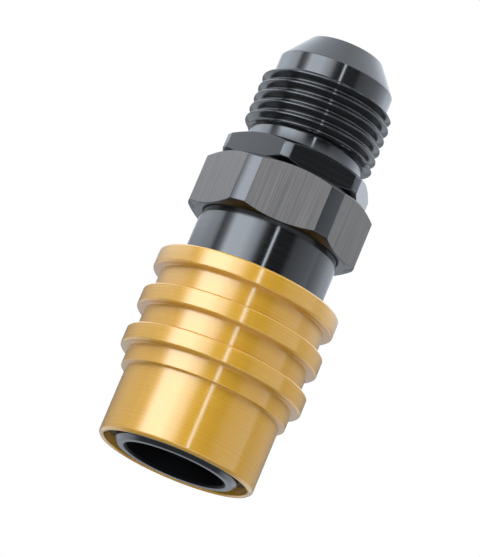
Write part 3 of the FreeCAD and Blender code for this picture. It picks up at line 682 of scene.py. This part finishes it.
def makeSpring(name, size, wire):
    start = size["low"] + size["wireRadius"] + wire["endGap"]
    run = size["high"] - size["low"] - 2 * size["wireRadius"] - 2 * wire["endGap"]
    steps = int(size["turns"] * wire["stepsPerTurn"])
    place = Matrix.Translation((size["coilRadius"] * mm, 0, start * mm))
    upright = place @ Matrix.Rotation(fullTurn / 4, 4, "X")
    bm = bmesh.new()
    circle = bmesh.ops.create_circle(
        bm, segments=wire["sides"], radius=size["wireRadius"] * mm, matrix=upright,
    )
    firstLoop = bm.edges[:]
    swept = bmesh.ops.spin(
        bm, geom=circle["verts"] + firstLoop, cent=(0, 0, 0), axis=(0, 0, 1),
        angle=size["turns"] * fullTurn, steps=steps, dvec=(0, 0, run * mm / steps),
    )
    lastLoop = [item for item in swept["geom_last"] if isinstance(item, bmesh.types.BMEdge)]
    bmesh.ops.edgeloop_fill(bm, edges=firstLoop)
    bmesh.ops.edgeloop_fill(bm, edges=lastLoop)
    bmesh.ops.recalc_face_normals(bm, faces=bm.faces[:])
    piece = finishPiece(bm, name, size["body"], [innerSkins["drawnSpringSteel"]], [size["node"]])
    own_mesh(piece)


for name, size in springs.items():
    makeSpring(name, size, springWire)
print("springs done")

# Locking balls in their ring of holes
balls = {
    "count": coupler["ballCount"], "height": coupler["ballHeight"], "radius": 1.5875, "centre": 7.5375,
    "subdivisions": 4,
}


def makeBall(number, size):
    angle = fullTurn * (number - 1) / size["count"]
    seat = Vector((math.cos(angle), math.sin(angle), 0)) * size["centre"] + Vector((0, 0, size["height"]))
    bm = bmesh.new()
    bmesh.ops.create_icosphere(
        bm, subdivisions=size["subdivisions"], radius=size["radius"] * mm,
        matrix=Matrix.Translation(seat * mm),
    )
    steel = innerSkins["groundBearingSteel"]
    piece = finishPiece(bm, f"lockBall{number}", f"ball_{number}", [steel], [f"lock_ball_{number}"])


for number in range(1, balls["count"] + 1):
    makeBall(number, balls)
print("balls done")

# Poppet: pilot in front, sealing head, stem
poppet = {
    "pilotRadius": 2.0, "pilotLow": 14.03, "pilotChamfer": 0.8, "headLow": 23.03, "headRadius": 4.9,
    "lipRadius": 6.0, "lipLow": 24.13, "lipTop": 24.398, "grooveRadius": 5.45, "flangeRadius": 6.4,
    "flangeLow": 25.898, "flangeTop": 26.848, "stemRadius": 1.55, "stemTop": 39.35, "stemChamfer": 0.3,
    "steps": 128,
}


def makePoppet(size):
    profile = [
        (0, size["pilotLow"], 0),
        (size["pilotRadius"] - size["pilotChamfer"], size["pilotLow"], 0.2),
        (size["pilotRadius"], size["pilotLow"] + size["pilotChamfer"], 0.3),
        (size["pilotRadius"], size["headLow"], 0.3),
        (size["headRadius"], size["headLow"], 0.08),
        (size["lipRadius"], size["lipLow"], 0.06),
        (size["lipRadius"], size["lipTop"], 0.05),
        (size["grooveRadius"], size["lipTop"], 0),
        (size["grooveRadius"], size["flangeLow"], 0),
        (size["flangeRadius"], size["flangeLow"], 0.06),
        (size["flangeRadius"], size["flangeTop"], 0.08),
        (size["stemRadius"], size["flangeTop"], 0.2),
        (size["stemRadius"], size["stemTop"] - size["stemChamfer"], 0.05),
        (size["stemRadius"] - size["stemChamfer"], size["stemTop"], 0.05),
        (0, size["stemTop"], 0),
    ]
    bm = spinProfile(profile, size["steps"], closed=False)
    piece = finishPiece(bm, "valvePoppet", "valve", [innerSkins["turnedAluminium"]], ["poppet"])


makePoppet(poppet)

# Moulded seals, round in section
seals = {
    "plugSeal": {
        "node": "plug_seal", "body": "coupler", "meanRadius": 7.51, "sectionRadius": 0.89, "height": 19.09,
    },
    "poppetSeal": {
        "node": "poppet_seal", "body": "valve", "meanRadius": 6.2, "sectionRadius": 0.7, "height": 25.148,
    },
    "adapterSeal": {
        "node": "adapter_seal", "body": "coupler", "meanRadius": 8.8, "sectionRadius": 0.55, "height": 41.6,
    },
}
sealRing = {"sides": 24, "steps": 128}


def makeSeal(name, size, ring):
    place = Matrix.Translation((size["meanRadius"] * mm, 0, size["height"] * mm))
    upright = place @ Matrix.Rotation(fullTurn / 4, 4, "X")
    bm = bmesh.new()
    bmesh.ops.create_circle(bm, segments=ring["sides"], radius=size["sectionRadius"] * mm, matrix=upright)
    spinRound(bm, ring["steps"])
    piece = finishPiece(bm, name, size["body"], [innerSkins["mouldedNitrileRubber"]], [size["node"]])


for name, size in seals.items():
    makeSeal(name, size, sealRing)
print("poppet and seals done")

# Solids that stay as they are, with their own finish
plainNodes = {
    "sleeve_stop_ring": "phosphatedSpringSteel",
    "seal_backup_ring": "turnedPtfe",
    "valve_guide": "turnedAluminium",
}
for node, finish in plainNodes.items():
    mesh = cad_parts[node].data
    mesh.materials.clear()
    mesh.materials.append(innerSkins[finish])

# Studio tent: what the metal mirrors. Panels stand round the part, at bearings in degrees from the lens,
# + to the right; they fade into the tent's own glow above and below, at heights in degrees from the
# middle of the part. Lengths are in metres.
tent = {
    "radius": 0.6, "low": -0.5, "high": 0.7, "roofRise": 0.2, "sides": 180, "middle": 0.035,
    "brightest": 8.0, "tint": "#ebf4ff",
    "panels": (
        (-180, 1.2), (-150, 1.3), (-118, 3.1), (-93, 3.5), (-86.5, 2.0), (-83.5, 0.66), (-78.5, 0.66),
        (-71, 1.4), (-61, 5.5), (-36, 5.5), (-30, 4.6), (-18, 3.0), (-9, 0.5), (-3, 0.09), (4.9, 0.09),
        (5.7, 7.9), (7.9, 7.9), (8.7, 0.05), (34.5, 0.05), (43, 0.55), (80, 1.1), (104, 2.0), (124, 2.6),
        (154, 1.5), (180, 1.2),
    ),
    "glow": (
        (-90, 0.25), (-45, 0.3), (-15, 0.6), (-4, 0.45), (12, 0.9), (28, 1.5), (45, 2.0), (62, 1.7),
        (90, 1.3),
    ),
    "panelShare": ((-90, 0.0), (0, 0.0), (4, 1.0), (23, 1.0), (30, 0.0), (90, 0.0)),
    "lowPanels": (
        (-180, 0.7), (-166, 0.7), (-156, 1.2), (-114, 1.5), (-102, 0.35), (-78, 0.35), (-66, 1.8), (-24, 1.6),
        (-14, 2.4), (14, 2.4), (24, 1.6), (66, 1.8), (78, 0.35), (102, 0.35), (114, 1.5), (156, 1.2),
        (166, 0.7), (180, 0.7),
    ),
    "lowShare": ((-90, 0.0), (-50, 0.0), (-36, 1.0), (-13, 1.0), (-8, 0.0), (90, 0.0)),
    "backLow": ((-90, 0.18), (12.2, 0.18), (15, 1.0), (90, 1.0)),  # panels behind the part start this high
    "backRange": (82, 90),  # bearings, left and right, over which a panel comes to count as behind
}


def setStops(ramp, stops, widest, brightest):  # stops are (degrees, value), spread over plus and minus widest
    elements = ramp.color_ramp.elements
    for number, (degrees, value) in enumerate(stops):
        spot = degrees / (2 * widest) + 0.5
        stop = elements[number] if number < 2 else elements.new(spot)
        stop.position = spot
        stop.color = [value / brightest] * 3 + [1]


def makeTentLight(size):
    material, tree = newMaterial("studioTent")
    place = addNode(tree, "ShaderNodeTexCoord", {}, {}).outputs["Object"]
    split = addNode(tree, "ShaderNodeSeparateXYZ", {}, {0: place})
    front = addNode(tree, "ShaderNodeMath", {"operation": "MULTIPLY"}, {0: split.outputs["Y"], 1: -1.0})
    bearing = addNode(
        tree, "ShaderNodeMath", {"operation": "ARCTAN2"}, {0: split.outputs["X"], 1: front.outputs[0]},
    )
    across = addNode(tree, "ShaderNodeVectorMath", {"operation": "MULTIPLY"}, {0: place, 1: (1, 1, 0)})
    reach = addNode(tree, "ShaderNodeVectorMath", {"operation": "LENGTH"}, {0: across.outputs[0]})
    above = addNode(
        tree, "ShaderNodeMath", {"operation": "SUBTRACT"}, {0: split.outputs["Z"], 1: size["middle"]},
    )
    height = addNode(
        tree, "ShaderNodeMath", {"operation": "ARCTAN2"}, {0: above.outputs[0], 1: reach.outputs["Value"]},
    )
    ramps = {}
    for name, angle, widest, brightest in (
        ("panels", bearing, 180, size["brightest"]), ("lowPanels", bearing, 180, size["brightest"]),
        ("glow", height, 90, size["brightest"]), ("panelShare", height, 90, 1), ("lowShare", height, 90, 1),
        ("backLow", height, 90, 1),
    ):
        share = addNode(
            tree, "ShaderNodeMapRange", {},
            {
                "Value": angle.outputs[0], "From Min": -math.radians(widest),
                "From Max": math.radians(widest), "To Min": 0.0, "To Max": 1.0,
            },
        )
        ramps[name] = addNode(tree, "ShaderNodeValToRGB", {}, {0: share.outputs[0]})
        setStops(ramps[name], size[name], widest, brightest)
    aside = addNode(tree, "ShaderNodeMath", {"operation": "ABSOLUTE"}, {0: bearing.outputs[0]})
    back = addNode(
        tree, "ShaderNodeMapRange", {"interpolation_type": "SMOOTHSTEP"},
        {
            "Value": aside.outputs[0], "From Min": math.radians(size["backRange"][0]),
            "From Max": math.radians(size["backRange"][1]),
        },
    )
    shortened = addNode(
        tree, "ShaderNodeMix", {"data_type": "RGBA", "blend_type": "MULTIPLY"},
        {0: back.outputs[0], mixA: ramps["panels"].outputs[0], mixB: ramps["backLow"].outputs[0]},
    )
    withLow = addNode(
        tree, "ShaderNodeMix", {"data_type": "RGBA"},
        {
            0: ramps["lowShare"].outputs[0], mixA: ramps["glow"].outputs[0],
            mixB: ramps["lowPanels"].outputs[0],
        },
    )
    both = addNode(
        tree, "ShaderNodeMix", {"data_type": "RGBA"},
        {
            0: ramps["panelShare"].outputs[0], mixA: withLow.outputs[mixOut],
            mixB: shortened.outputs[mixOut],
        },
    )
    tinted = addNode(
        tree, "ShaderNodeMix", {"data_type": "RGBA", "blend_type": "MULTIPLY"},
        {0: 1.0, mixA: both.outputs[mixOut], mixB: linearColour(size["tint"])},
    )
    light = addNode(
        tree, "ShaderNodeEmission", {}, {"Color": tinted.outputs[mixOut], "Strength": size["brightest"]},
    )
    addNode(tree, "ShaderNodeOutputMaterial", {}, {"Surface": light.outputs[0]})
    return material


def stagePiece(bm, name, material):  # part of the studio, not of the object
    mesh = bpy.data.meshes.new(name)
    bm.to_mesh(mesh)
    bm.free()
    mesh.materials.append(material)
    piece = bpy.data.objects.new(name, mesh)
    scene.collection.objects.link(piece)
    return piece


def makeTent(size):
    outline = (
        (0, size["low"]), (size["radius"], size["low"]), (size["radius"], size["high"]),
        (0, size["high"] + size["roofRise"]),
    )
    bm = bmesh.new()
    drawLine(bm, [(0, -radius, height) for radius, height in outline])
    spinRound(bm, size["sides"])
    piece = stagePiece(bm, "studioTent", makeTentLight(size))
    piece.visible_camera = False
    piece.visible_diffuse = False
    piece.visible_shadow = False
    piece.visible_transmission = False


makeTent(tent)

# Floor under the nose: pale, keeps the shadow, and lets the lens look up through it
floor = {"colour": "#dcdcda", "size": 1.5, "drop": 0.02}  # size in metres, drop below the nose in mm


def makeFloor(size):
    material, tree = newMaterial("studioFloor")
    paint = addNode(tree, "ShaderNodeBsdfDiffuse", {}, {"Color": linearColour(size["colour"])})
    clear = addNode(tree, "ShaderNodeBsdfTransparent", {}, {})
    side = addNode(tree, "ShaderNodeNewGeometry", {}, {})
    surface = addNode(
        tree, "ShaderNodeMixShader", {},
        {0: side.outputs["Backfacing"], 1: paint.outputs[0], 2: clear.outputs[0]},
    )
    addNode(tree, "ShaderNodeOutputMaterial", {}, {"Surface": surface.outputs[0]})
    below = Matrix.Translation((0, 0, -size["drop"] * mm))
    bm = bmesh.new()
    bmesh.ops.create_grid(bm, x_segments=1, y_segments=1, size=size["size"], matrix=below)
    piece = stagePiece(bm, "studioFloor", material)
    piece.visible_diffuse = False
    piece.visible_glossy = False
    piece.visible_shadow = False


makeFloor(floor)

# Two soft lamps for the floor and the dull pieces; the metal mirrors the tent instead. In metres and watts
lamps = {
    "softLeft": {"place": (-0.45, -0.4, 0.55), "size": 0.5, "power": 2.4},
    "softRight": {"place": (0.5, -0.25, 0.5), "size": 0.5, "power": 1.8},
}
lampAim = Vector((0, 0, 0.03))
for name, look in lamps.items():
    data = bpy.data.lights.new(name, "AREA")
    data.size = look["size"]
    data.energy = look["power"]
    lamp = bpy.data.objects.new(name, data)
    lamp.location = look["place"]
    lamp.rotation_mode = "QUATERNION"
    lamp.rotation_quaternion = (lampAim - Vector(look["place"])).to_track_quat("-Z", "Y")
    lamp.visible_camera = False
    lamp.visible_glossy = False
    scene.collection.objects.link(lamp)

# White round the object for the lens and for mirrored rays, an even light for the rest
ground = {"colour": "#ffffff", "evenLight": 0.72, "seenLight": 1.0}


def makeWorld(look):
    world = bpy.data.worlds.new("studio")
    scene.world = world
    world.use_nodes = True
    tree = world.node_tree
    tree.nodes.clear()
    white = linearColour(look["colour"])
    path = addNode(tree, "ShaderNodeLightPath", {}, {})
    mirrored = addNode(
        tree, "ShaderNodeMath", {"operation": "MAXIMUM"},
        {0: path.outputs["Is Glossy Ray"], 1: path.outputs["Is Transmission Ray"]},
    )
    seen = addNode(
        tree, "ShaderNodeMath", {"operation": "MAXIMUM"},
        {0: path.outputs["Is Camera Ray"], 1: mirrored.outputs[0]},
    )
    even = addNode(tree, "ShaderNodeBackground", {}, {"Color": white, "Strength": look["evenLight"]})
    whiteGround = addNode(tree, "ShaderNodeBackground", {}, {"Color": white, "Strength": look["seenLight"]})
    sky = addNode(
        tree, "ShaderNodeMixShader", {}, {0: seen.outputs[0], 1: even.outputs[0], 2: whiteGround.outputs[0]},
    )
    addNode(tree, "ShaderNodeOutputWorld", {}, {"Surface": sky.outputs[0]})


makeWorld(ground)
scene.view_settings.view_transform = "Standard"
print("studio done")

# Camera: below the nose, rolled so that the part leans to the right
lens = {
    "lookAt": 29.08, "pixel": (254.8, 273.3),  # this height on the axis shows at this pixel
    "frameSize": (480, 557), "pixelSize": 0.1369, "below": 14.1, "lean": 22.8, "distance": 560.0,
    "sensor": 36.0, "clipStart": 0.05, "clipEnd": 10,  # clipping in metres
}


def makeCamera(size):
    below, lean = math.radians(size["below"]), math.radians(size["lean"])
    back = Vector((0, -math.cos(below), -math.sin(below)))
    level = Vector((1, 0, 0))
    upright = back.cross(level)
    right = level * math.cos(lean) + upright * math.sin(lean)
    up = upright * math.cos(lean) - level * math.sin(lean)
    shiftRight = (size["pixel"][0] - size["frameSize"][0] / 2) * size["pixelSize"]
    shiftUp = (size["frameSize"][1] / 2 - size["pixel"][1]) * size["pixelSize"]
    target = Vector((0, 0, size["lookAt"])) - right * shiftRight - up * shiftUp
    data = bpy.data.cameras.new("productLens")
    data.sensor_width = size["sensor"]
    data.lens = size["sensor"] * size["distance"] / (size["frameSize"][1] * size["pixelSize"])
    data.clip_start = size["clipStart"]
    data.clip_end = size["clipEnd"]
    camera = bpy.data.objects.new("productLens", data)
    turn = Matrix((right, up, back)).transposed().to_4x4()
    camera.matrix_world = Matrix.Translation((target + back * size["distance"]) * mm) @ turn
    scene.collection.objects.link(camera)
    scene.camera = camera


makeCamera(lens)
print("camera done")
